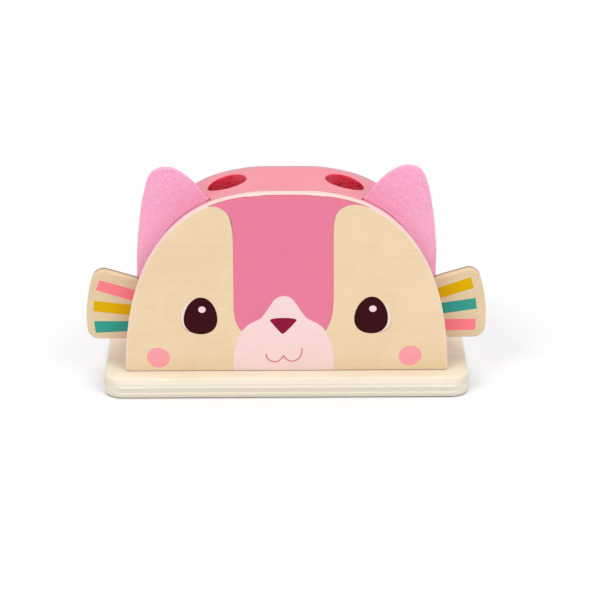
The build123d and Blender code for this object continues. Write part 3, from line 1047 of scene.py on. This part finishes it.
class TOY_OT_stage(bpy.types.Operator):
    """Set up the camera, the floor, the lamps and the even light all round"""

    bl_idname = "toy.stage"
    bl_label = "Stage"

    def execute(self, context):
        settings = context.scene.toy_stage
        self.add_camera(context.scene)
        self.add_floor(settings)
        (x, y, z), width = front_lamp
        for side, sign in SIDES:
            self.add_lamp(f"{side}_front_lamp", (sign * x, y, z), width, settings.front_lamps)
        self.add_lamp("top_lamp", *top_lamp, settings.top_lamp)
        self.set_surroundings(context.scene, settings.surroundings)
        context.scene.view_settings.view_transform = "Standard"
        return {"FINISHED"}

    def add_camera(self, scene):
        """A long lens looks down at the toy, and the anchor point falls on its pixel."""
        elevation = radians(camera_elevation)
        azimuth = radians(camera_azimuth)
        back = Vector((sin(azimuth) * cos(elevation), -cos(azimuth) * cos(elevation), sin(elevation)))
        right = Vector((0, 0, 1)).cross(back).normalized()
        up = back.cross(right)
        middle = picture_width / 2
        place = (
            Vector(anchor_point)
            + back * camera_distance
            - right * ((anchor_pixel[0] - middle) * millimetres_per_pixel)
            + up * ((anchor_pixel[1] - middle) * millimetres_per_pixel)
        )
        data = bpy.data.cameras.new("toy_camera")
        data.sensor_width = sensor_width
        data.lens = sensor_width / picture_width * camera_distance / millimetres_per_pixel
        data.clip_start = 0.05
        camera = bpy.data.objects.new("toy_camera", data)
        camera.matrix_world = Matrix.Translation(place * mm) @ Matrix((right, up, back)).transposed().to_4x4()
        scene.collection.objects.link(camera)
        scene.camera = camera

    def add_floor(self, settings):
        """A square floor, a hair below the base plate."""
        mesh = bpy.data.meshes.new("floor")
        turns = ((-1, -1), (1, -1), (1, 1), (-1, 1))
        corners = [(x * floor_reach, y * floor_reach, -floor_gap) for x, y in turns]
        mesh.from_pydata(corners, [], [(0, 1, 2, 3)])
        mesh.materials.append(studio_floor("floor", settings.floor, settings.shadow_share))
        floor = bpy.data.objects.new("floor", mesh)
        bpy.context.scene.collection.objects.link(floor)

    def add_lamp(self, name, place, width, power):
        """A square soft box that faces the toy."""
        data = bpy.data.lights.new(name, "AREA")
        data.size = width
        data.energy = power
        lamp = bpy.data.objects.new(name, data)
        facing = (Vector(place) - Vector(lit_point)).to_track_quat("Z", "Y")
        lamp.matrix_world = Matrix.Translation(place) @ facing.to_matrix().to_4x4()
        lamp.visible_camera = False
        bpy.context.scene.collection.objects.link(lamp)

    def set_surroundings(self, scene, strength):
        """Even light of one strength, which the camera sees as white."""
        shader = Shader("surroundings", "worlds")
        seen = shader.node("LightPath", outputs=("Is Camera Ray",))
        light = shader.node("Background", {}, {"Color": white, "Strength": strength})
        backdrop = shader.node("Background", {}, {"Color": white})
        surface = shader.node("MixShader", {}, {0: seen, 1: light, 2: backdrop})
        scene.world = shader.output(surface, "OutputWorld")


GROUPS = {"toy_sizes": ToySizes, "toy_colours": ToyColours, "toy_stage": ToyStage}

# In the order in which they run
OPERATORS = (
    TOY_OT_stage, TOY_OT_base_plate, TOY_OT_head, TOY_OT_face_print, TOY_OT_ears, TOY_OT_paddles,
    TOY_OT_pegs,
)


class TOY_PT_panel(bpy.types.Panel):
    """The toy's operators and settings"""

    bl_idname = "TOY_PT_panel"
    bl_label = "Pop-up toy"
    bl_space_type = "VIEW_3D"
    bl_region_type = "UI"
    bl_category = "Toy"

    def draw(self, context):
        for operator in OPERATORS:
            self.layout.operator(operator.bl_idname)
        for name, group in GROUPS.items():
            box = self.layout.box()
            for setting in group.__annotations__:
                box.prop(getattr(context.scene, name), setting)


CLASSES = (*GROUPS.values(), *OPERATORS, TOY_PT_panel)


def register():
    for each in CLASSES:
        bpy.utils.register_class(each)
    for name, group in GROUPS.items():
        setattr(bpy.types.Scene, name, bpy.props.PointerProperty(type=group))


def unregister():
    for name in GROUPS:
        delattr(bpy.types.Scene, name)
    for each in reversed(CLASSES):
        bpy.utils.unregister_class(each)


def main():
    """Registers the classes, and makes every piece."""
    register()
    for operator in OPERATORS:
        getattr(bpy.ops.toy, operator.bl_idname.removeprefix("toy."))()


if __name__ == "__main__":
    main()
